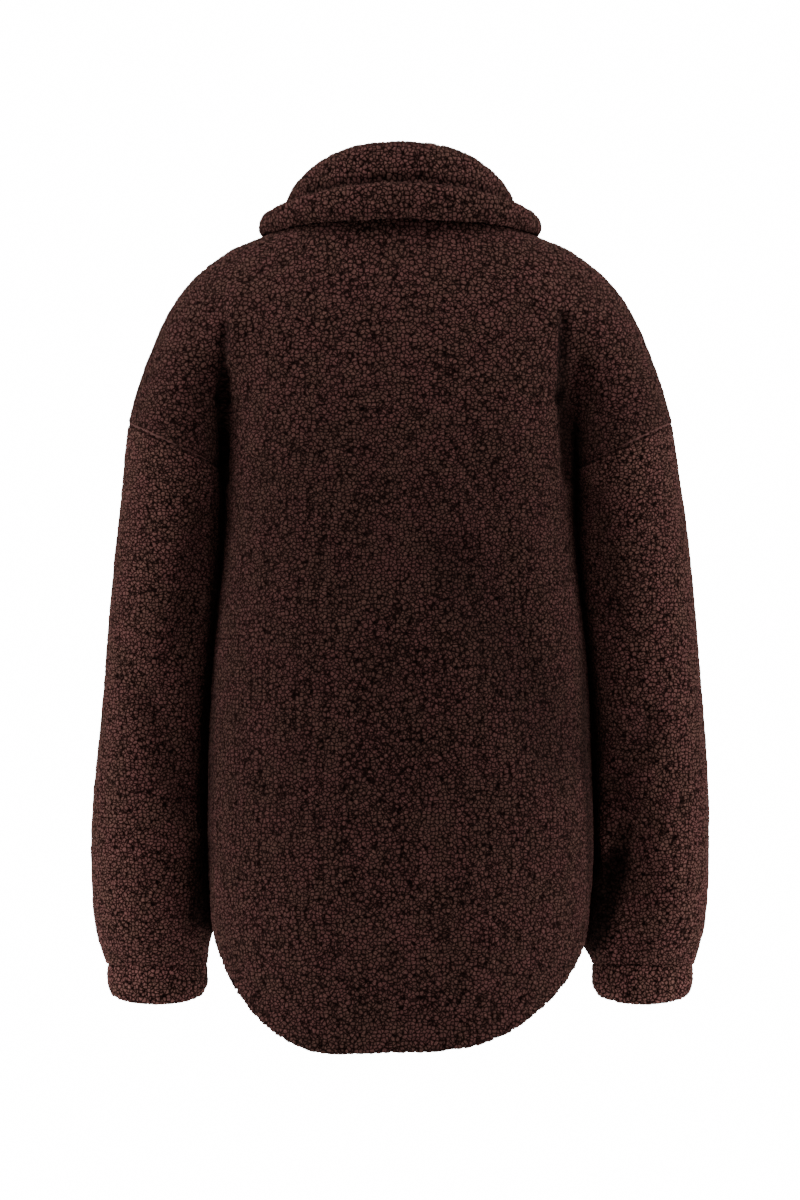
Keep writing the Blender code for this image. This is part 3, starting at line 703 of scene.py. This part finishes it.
def relief_tree(name, size):
    """Return the Geometry Nodes that raise curls of one size."""
    tree = bpy.data.node_groups.new(name, "GeometryNodeTree")
    tree.interface.new_socket("Cloth", in_out="INPUT", socket_type="NodeSocketGeometry")
    tree.interface.new_socket("Cloth", in_out="OUTPUT", socket_type="NodeSocketGeometry")
    flow = Flow(tree)

    def attribute(kind, called):
        return flow.node("GeometryNodeInputNamedAttribute", {"data_type": kind}, {"Name": called})

    cloth = flow.node("NodeGroupInput")
    place = attribute("FLOAT_VECTOR", "pile")
    pressed = attribute("FLOAT", "pressed")
    outside = 1 - attribute("FLOAT", "inside")
    clump = flow.node("ShaderNodeTexNoise", {}, {"Vector": place, "Scale": 1 / CLUMP_SIZE, "Detail": 0.0})
    curls = curl_space(flow, place, size)
    curl = round_back(gap_distance(flow, curls), CURL_EDGE) * corner_share(flow, curls)
    lofty = CURL_RISE - (1 - curl) * CURL_DEPTH + (clump - 0.5) * CLUMP_DEPTH
    height = (lofty * (1 - pressed) - pressed * PRESSED_DEPTH) * outside + attribute("FLOAT", "swell")
    normal = flow.node("GeometryNodeInputNormal")
    offset = flow.vector("SCALE", {0: normal, "Scale": height})
    raised = flow.node("GeometryNodeSetPosition", {}, {"Geometry": cloth, "Offset": offset})
    end = tree.nodes.new("NodeGroupOutput")
    tree.links.new(raised.output, end.inputs[0])
    return tree


for node, piece in shells.items():
    size = CURL_SIZE * CURL_SIZES.get(node, 1.0)
    add_modifier(piece, "NODES", node_group=relief_tree(f"curls_{node}", size))
    area = sum(face.area for face in piece.data.polygons)
    print(node, "surface", round(area, 4), "square metres, both sides")

# %% [markdown]
# ## The pile's finish
#
# The cloth is a dark chocolate brown. The backs of the curls catch the light and look a little
# redder, and from patch to patch the dye leans to red or to olive. The gaps are painted nearly
# black, and the flanks and corners of each curl darker, as painted shade. A curl is two or three
# lobes of yarn, so a second, finer pattern divides each one, with shallower gaps that are also
# painted darker as shade. The sleeves, cuffs, collar, shoulders and tail are painted lighter, as
# painted light. The armhole's bare strip and the painted shadow line beside it are read from the
# distance to the seam, which keeps them crisp on a net of coarse faces. Fine fibres give a weak
# sheen where the cloth turns away. The bump carries what the relief is too coarse for: the steep
# edge of each curl, its lobes and the twist of the yarn.

# %% Colours and sizes of the fleece
# painted shade: the near black of the gaps between curls, and of the line beside the armhole
GAP_SHADE_COLOUR = (0.0034, 0.0003, 0.0002, 1.0)
CURL_COLOUR = (0.110, 0.0500, 0.0440, 1.0)
OLIVE_COLOUR = (0.100, 0.0510, 0.0380, 1.0)
RED_COLOUR = (0.128, 0.0490, 0.0460, 1.0)
BARE_COLOUR = (0.165, 0.0760, 0.0680, 1.0)
INSIDE_COLOUR = (0.040, 0.0170, 0.0145, 1.0)
PAINTED_SHADE_LOSS = 0.94           # share of its colour that pile loses where its painted shade is fullest
# painted light: sleeves, cuffs and collar are painted lighter copies of the same fleece
PIECE_PAINTED_LIGHT = {"sleeve_left": 1.65, "sleeve_right": 1.65, "cuff_left": 1.95, "cuff_right": 1.95, "collar": 1.1}
BARE_BAND = (0.0, 0.5 * MM, 1.7 * MM, 2.5 * MM)            # on the body's side of an armhole
ARMHOLE_SHADOW_BAND = (-2.0 * MM, -1.0 * MM, -0.2 * MM, 0.3 * MM)  # the painted shadow line on the sleeve's side
TOP_PAINTED_LIGHT = 0.22            # painted light: how much lighter the pile is painted over the shoulders, as lit from above
TAIL_PAINTED_LIGHT = 0.22           # and how much lighter it is painted near the hem, as painted light
TOP_PAINTED_LIGHT_HEIGHTS = (-0.30, -0.08)
TAIL_PAINTED_LIGHT_HEIGHTS = (-0.50, -0.66)
ARMHOLE_SHADOW_SHARE = 0.65
PATCH_SIZE = 22 * MM
PATCH_CONTRAST = 4.0
GAP_WIDTH = 0.23           # share of a curl over which the painted shade of the gap's black fades out
SHADE_WIDTH = 0.42         # and over which it reaches the colour of the back
SHADE_LOSS = 0.25          # how much darker the pile is before that
OWN_LOW = 0.9              # the darkest curls, against the middle tone
OWN_SPREAD = 0.2           # from there to the lightest
LOBES = 1.9                # lobes across a curl
LOBE_GAP = 0.13
LOBE_LOSS = 0.30           # how much darker the gaps between lobes are painted, as shade
TWIST_SPREAD = 2.5         # how strongly the twist of the yarn shows
TWIST_LOW = 0.25
CURL_BUMP = 0.6 * MM
LOBE_BUMP = 0.35 * MM
TWIST_SIZE = 0.9 * MM
TWIST_BUMP = 0.22 * MM
BACKING_SIZE = 0.9 * MM
BACKING_BUMP = 0.12 * MM
SHEEN = 0.06
SHEEN_TINT = (0.80, 0.42, 0.36, 1.0)


def mixed(flow, factor, first, second):
    """Return a mix of two colours."""
    return flow.node(
        "ShaderNodeMix", {"data_type": "RGBA", "clamp_factor": False}, {0: factor, 6: first, 7: second}, 2,
    )


def span(flow, value, low, high):
    """Return 0 up to the low end and 1 from the high end on, with soft ends."""
    settings = {"interpolation_type": "SMOOTHSTEP"}
    return flow.node("ShaderNodeMapRange", settings, {0: value, 1: low, 2: high})


def band(flow, distance, ends):
    """Return 1 between the second and third distance, and 0 outside the first and last."""
    return span(flow, distance, ends[0], ends[1]) * (1 - span(flow, distance, ends[2], ends[3]))


# %% Build the fleece
def fleece(name, size, painted_light):
    """Return the material of cloth with curls of one size, painted lighter by some factor as painted light.
    """
    material = bpy.data.materials.new(name)
    material.use_nodes = True
    tree = material.node_tree
    tree.nodes.clear()
    flow = Flow(tree)
    place = flow.node("ShaderNodeAttribute", {"attribute_name": "pile"}, {}, 1)
    inside = flow.node("ShaderNodeAttribute", {"attribute_name": "inside"}, {}, 2)
    pressed = flow.node("ShaderNodeAttribute", {"attribute_name": "pressed"}, {}, 2)
    seam = flow.node("ShaderNodeAttribute", {"attribute_name": "armhole"}, {}, 2)
    painted_shade = flow.node("ShaderNodeAttribute", {"attribute_name": "painted_shade"}, {}, 2)
    curls = curl_space(flow, place, size)
    away = gap_distance(flow, curls)
    lobe_away = gap_distance(flow, curls, LOBES)
    twist = flow.node("ShaderNodeTexNoise", {}, {"Vector": place, "Scale": 1 / TWIST_SIZE, "Detail": 2.0})
    patch = flow.node("ShaderNodeTexNoise", {}, {"Vector": place, "Scale": 1 / PATCH_SIZE, "Detail": 2.0})
    lean = ((patch - 0.5) * PATCH_CONTRAST + 0.5).clamped()
    dye = mixed(flow, lean, OLIVE_COLOUR, RED_COLOUR)
    dye = mixed(flow, 0.5, dye, CURL_COLOUR)
    height = flow.node("ShaderNodeSeparateXYZ", {}, {0: place}, 2)
    # painted light: the pile is painted lighter over the shoulders and near the hem
    wear_and_painted_light = TOP_PAINTED_LIGHT * span(flow, height, *TOP_PAINTED_LIGHT_HEIGHTS)
    wear_and_painted_light = wear_and_painted_light + TAIL_PAINTED_LIGHT * span(flow, height, *TAIL_PAINTED_LIGHT_HEIGHTS)
    dye = flow.vector("SCALE", {0: dye, "Scale": (wear_and_painted_light + 1) * painted_light})
    corner = corner_share(flow, curls)
    own = flow.node("ShaderNodeSeparateColor", {}, {0: cell_output(flow, curls, 1)})
    # painted shade: black in the gaps, darker on the flanks and corners of each curl and in the gaps between
    # lobes
    open_gap = span(flow, away, 0.0, GAP_WIDTH) * corner
    lit = open_gap * (1 - SHADE_LOSS + SHADE_LOSS * span(flow, away, 0.0, SHADE_WIDTH))
    lit = lit * (OWN_LOW + OWN_SPREAD * own)
    lit = lit * (1 - LOBE_LOSS + LOBE_LOSS * span(flow, lobe_away, 0.0, LOBE_GAP))
    lit = lit * (TWIST_SPREAD * twist - TWIST_LOW)
    pile = mixed(flow, lit, GAP_SHADE_COLOUR, dye)
    # painted shadow: a dark line along the armhole on the sleeve's side
    pile = mixed(flow, band(flow, seam, ARMHOLE_SHADOW_BAND) * ARMHOLE_SHADOW_SHARE, pile, GAP_SHADE_COLOUR)
    pile = mixed(flow, band(flow, seam, BARE_BAND), pile, BARE_COLOUR)
    # painted shade where the pile is shut in, in folds and in the collar's groove
    pile = flow.vector("SCALE", {0: pile, "Scale": 1 - painted_shade * PAINTED_SHADE_LOSS})
    backing = flow.node("ShaderNodeTexNoise", {}, {"Vector": place, "Scale": 1 / BACKING_SIZE, "Detail": 3.0})
    colour = mixed(flow, inside, pile, INSIDE_COLOUR)
    curl = round_back(away, CURL_EDGE) * corner
    lobe = round_back(lobe_away, SHADE_WIDTH)
    loft = (curl * CURL_BUMP + lobe * LOBE_BUMP + twist * TWIST_BUMP) * (1 - pressed)
    relief = loft * (1 - inside) + backing * inside * BACKING_BUMP + backing * pressed * BACKING_BUMP
    bump = flow.node("ShaderNodeBump", {}, {"Height": relief, "Distance": 1.0, "Strength": 1.0})
    shader = flow.node(
        "ShaderNodeBsdfPrincipled", {},
        {
            "Base Color": colour, "Roughness": 0.95, "Normal": bump, "Specular IOR Level": 0.06,
            "Sheen Weight": SHEEN, "Sheen Roughness": 0.5, "Sheen Tint": SHEEN_TINT,
        },
    )
    flow.node("ShaderNodeOutputMaterial", {}, {"Surface": shader})
    return material


for node, piece in shells.items():
    size = CURL_SIZE * CURL_SIZES.get(node, 1.0)
    piece.data.materials.clear()
    piece.data.materials.append(fleece(f"fleece_{node}", size, PIECE_PAINTED_LIGHT.get(node, 1.0)))
print("materials:", len(bpy.data.materials))

# %% [markdown]
# ## Press studs
#
# Each stud shows one cap on the front: a shallow dome with a rolled rim, enamelled in the brown
# of the cloth, with a little wear on its rim. It is made once from a flat cylinder, whose face
# is inset and pushed in and out, and copied to the place and tilt of each stud of the model.

# %% Model one cap and copy it to the five studs
STUD_NODES = [f"stud_{number}" for number in range(1, 6)]
CAP_RADIUS = 7.4 * MM
CAP_HEIGHT = 3.2 * MM
CAP_SIDES = 48
CAP_STEPS = [(1.5, 0.0), (0.3, -0.5), (0.4, 0.1), (1.6, 0.45), (1.6, 0.2)]     # inset and lift in mm
ENAMEL_COLOUR = (0.022, 0.012, 0.010, 1.0)
WORN_COLOUR = (0.11, 0.075, 0.055, 1.0)


def cap_step(inset, lift):
    """Inset the selected face of a cap and move it out or in."""
    bpy.ops.mesh.inset(thickness=inset)
    bpy.ops.transform.translate(value=(0.0, 0.0, lift))


def stud_cap():
    """Return a cap that faces +Z, with its back at z = 0."""
    bpy.ops.object.select_all(action="DESELECT")
    bpy.ops.mesh.primitive_cylinder_add(
        vertices=CAP_SIDES, radius=CAP_RADIUS, depth=CAP_HEIGHT, location=(0, 0, CAP_HEIGHT / 2),
    )
    cap = bpy.context.object
    bpy.ops.object.mode_set(mode="EDIT")
    bpy.ops.mesh.select_mode(type="FACE")
    bpy.ops.mesh.select_all(action="DESELECT")
    bpy.ops.object.mode_set(mode="OBJECT")
    top = max(cap.data.polygons, key=lambda face: face.center.z)
    top.select = True
    bpy.ops.object.mode_set(mode="EDIT")
    for inset, lift in CAP_STEPS:
        cap_step(inset * MM, lift * MM)
    bpy.ops.object.mode_set(mode="OBJECT")
    add_modifier(cap, "BEVEL", width=0.7 * MM, segments=4, limit_method="ANGLE", angle_limit=math.radians(50))
    pick(cap)
    bpy.ops.object.shade_smooth_by_angle(angle=math.radians(40))
    return cap


def outward_axis(node):
    """Return the middle of a stud's back and the direction that it faces."""
    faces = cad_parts[node].data.polygons
    front = [face for face in faces if face.normal.y < -0.9]
    normal = sum((face.normal * face.area for face in front), Vector()).normalized()
    low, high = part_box(node)
    middle = (low + high) / 2
    depth = min(normal.dot(Vector(vertex.co) - middle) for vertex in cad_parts[node].data.vertices)
    return middle + normal * depth, normal


def enamel():
    """Return satin brown enamel on metal, worn a little at the rim."""
    material = bpy.data.materials.new("stud_enamel")
    material.use_nodes = True
    tree = material.node_tree
    tree.nodes.clear()
    flow = Flow(tree)
    place = flow.node("ShaderNodeTexCoord", {}, {}, 3)
    cloudy = flow.node("ShaderNodeTexNoise", {}, {"Vector": place, "Scale": 900.0, "Detail": 4.0})
    rim = flow.node("ShaderNodeNewGeometry", {}, {}, 7)
    # real wear: the enamel is rubbed off on the sharp rim of the cap
    wear_and_painted_light = ((rim - 0.53) * 14.0 * cloudy).clamped()
    colour = mixed(flow, wear_and_painted_light, ENAMEL_COLOUR, WORN_COLOUR)
    rough = cloudy * 0.22 + 0.22
    bump = flow.node("ShaderNodeBump", {}, {"Height": cloudy * 0.03 * MM, "Distance": 1.0})
    shader = flow.node(
        "ShaderNodeBsdfPrincipled", {},
        {"Base Color": colour, "Roughness": rough, "Metallic": wear_and_painted_light * 0.8, "Normal": bump,
         "Coat Weight": 0.35},
    )
    flow.node("ShaderNodeOutputMaterial", {}, {"Surface": shader})
    return material


pattern = stud_cap()
pattern.data.materials.append(enamel())
caps = {}
for node in STUD_NODES:
    cap = pattern.copy()
    cap.data = pattern.data.copy()
    cap.name = cap.data.name = f"{node}_cap"
    bpy.context.scene.collection.objects.link(cap)
    seat, facing = outward_axis(node)
    turn = facing.to_track_quat("Z", "Y").to_matrix().to_4x4()
    cap.data.transform(Matrix.Translation(seat) @ turn)
    caps[node] = cap
bpy.data.objects.remove(pattern)
print("caps:", len(caps), "with", len(cap.data.polygons), "faces each")

# %% [markdown]
# ## Hang every piece on the body
#
# The jacket has no joints, so every piece rides on the one body of the model, and each shell and
# cap hides the node of the model that it stands for. A table gives each piece of cloth the width
# and length of its pattern piece, and from it the area that the cut keeps of that rectangle is worked out.

Cut = dict
CUTS = {
    "back": Cut(flat=(0.62, 0.86), held="hung", on=("collar",)),
    "front_left": Cut(flat=(0.36, 0.82), held="hung", on=("collar",)),
    "front_right": Cut(flat=(0.36, 0.82), held="hung", on=("collar",)),
    "sleeve_left": Cut(flat=(0.43, 0.49), held="hung", on=("back", "front_left")),
    "sleeve_right": Cut(flat=(0.43, 0.49), held="hung", on=("back", "front_right")),
    "cuff_left": Cut(flat=(0.26, 0.045), held="gathered", on=("sleeve_left",)),
    "cuff_right": Cut(flat=(0.26, 0.045), held="gathered", on=("sleeve_right",)),
    "collar": Cut(flat=(0.50, 0.16), held="folded", on=("back", "front_left", "front_right")),
}
for node, piece in shells.items():
    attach(piece, "root")
    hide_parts(node)
    cut = CUTS[node]
    width, length = cut["flat"]
    area = width * length if cut["held"] == "gathered" else min(cloth_areas[node], width * length)
for node, cap in caps.items():
    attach(cap, "root")
    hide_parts(node)
for form in forms.values():
    bpy.data.objects.remove(form)
print("sheets:", {node: cut["flat"] for node, cut in CUTS.items()})

# %% [markdown]
# ## Floor, light and camera
#
# The jacket is photographed from behind against white. It hangs where a standing wearer would
# hold it, so the floor lies 1.45 m under the neck. Two tall soft lights stand at the sides, a
# little behind the cloth that the camera sees, so that the sleeves' outer edges are the
# brightest. A wide one overhead lights the shoulders and the collar, and weak ones fill the back
# and the front.
#
# A backdrop as white as paper would also light the jacket from all around and take the depth out
# of its pile. So the surrounding is white to the camera and much weaker as a light.

# %% Set up the studio
FLOOR_Z = -1.45
CAMERA_AWAY = 8.0
CAMERA_Z = (196 - 600) * 0.9 * MM
PICTURE_HALF = 600 * 0.9 * MM
BACKDROP = 16.0            # as the camera sees it
SURROUND = 0.085           # as a light
SENSOR = 36.0


def paint(name, colour, roughness):
    """Return a plain material with a faint unevenness, for the floor."""
    material = bpy.data.materials.new(name)
    material.use_nodes = True
    tree = material.node_tree
    tree.nodes.clear()
    flow = Flow(tree)
    place = flow.node("ShaderNodeTexCoord", {}, {}, 3)
    cloudy = flow.node("ShaderNodeTexNoise", {}, {"Vector": place, "Scale": 3.0})
    tone = mixed(flow, cloudy, colour, tuple(0.98 * value for value in colour[:3]) + (1.0,))
    shader = flow.node("ShaderNodeBsdfPrincipled", {}, {"Base Color": tone, "Roughness": roughness})
    flow.node("ShaderNodeOutputMaterial", {}, {"Surface": shader})
    return material


def soft_light(name, place, target, size, power):
    """Add an area light that faces a target."""
    lamp = bpy.data.lights.new(name, "AREA")
    lamp.shape = "RECTANGLE"
    lamp.size, lamp.size_y = size
    lamp.energy = power
    holder = bpy.data.objects.new(name, lamp)
    holder.location = place
    holder.rotation_euler = (Vector(target) - Vector(place)).to_track_quat("-Z", "Y").to_euler()
    bpy.context.scene.collection.objects.link(holder)


bpy.ops.object.select_all(action="DESELECT")
bpy.ops.mesh.primitive_circle_add(vertices=96, radius=5.0, fill_type="NGON", location=(0, 0, FLOOR_Z))
floor = bpy.context.object
floor.name = "floor"
floor.data.materials.append(paint("floor_paint", (0.9, 0.9, 0.9, 1.0), 0.8))

world = bpy.data.worlds.new("studio")
world.use_nodes = True
sky = Flow(world.node_tree)
seen = sky.node("ShaderNodeLightPath", {}, {})
backdrop = world.node_tree.nodes["Background"]
world.node_tree.links.new((SURROUND + seen * (BACKDROP - SURROUND)).output, backdrop.inputs["Strength"])
backdrop.inputs["Color"].default_value = (1.0, 1.0, 1.0, 1.0)
bpy.context.scene.world = world
middle = (0.0, 0.0, -0.4)
soft_light("light_left", (2.4, 0.5, -0.3), middle, (1.2, 2.4), 44.0)
soft_light("light_right", (-2.4, 0.5, -0.3), middle, (1.2, 2.4), 44.0)
soft_light("light_above", (0.0, 0.9, 2.2), middle, (2.4, 1.6), 58.0)
soft_light("light_behind_camera", (0.6, 3.4, 0.4), middle, (2.0, 2.0), 11.0)
soft_light("light_front", (-0.8, -3.2, 0.9), middle, (2.0, 2.0), 26.0)

camera = bpy.data.objects.new("camera", bpy.data.cameras.new("camera"))
camera.data.sensor_width = SENSOR
camera.data.lens = SENSOR / 2 * CAMERA_AWAY / PICTURE_HALF
camera.location = (0.0, CAMERA_AWAY, CAMERA_Z)
camera.rotation_euler = (math.pi / 2, 0.0, math.pi)
bpy.context.scene.collection.objects.link(camera)
bpy.context.scene.camera = camera
print("lens:", round(camera.data.lens, 1), "mm")
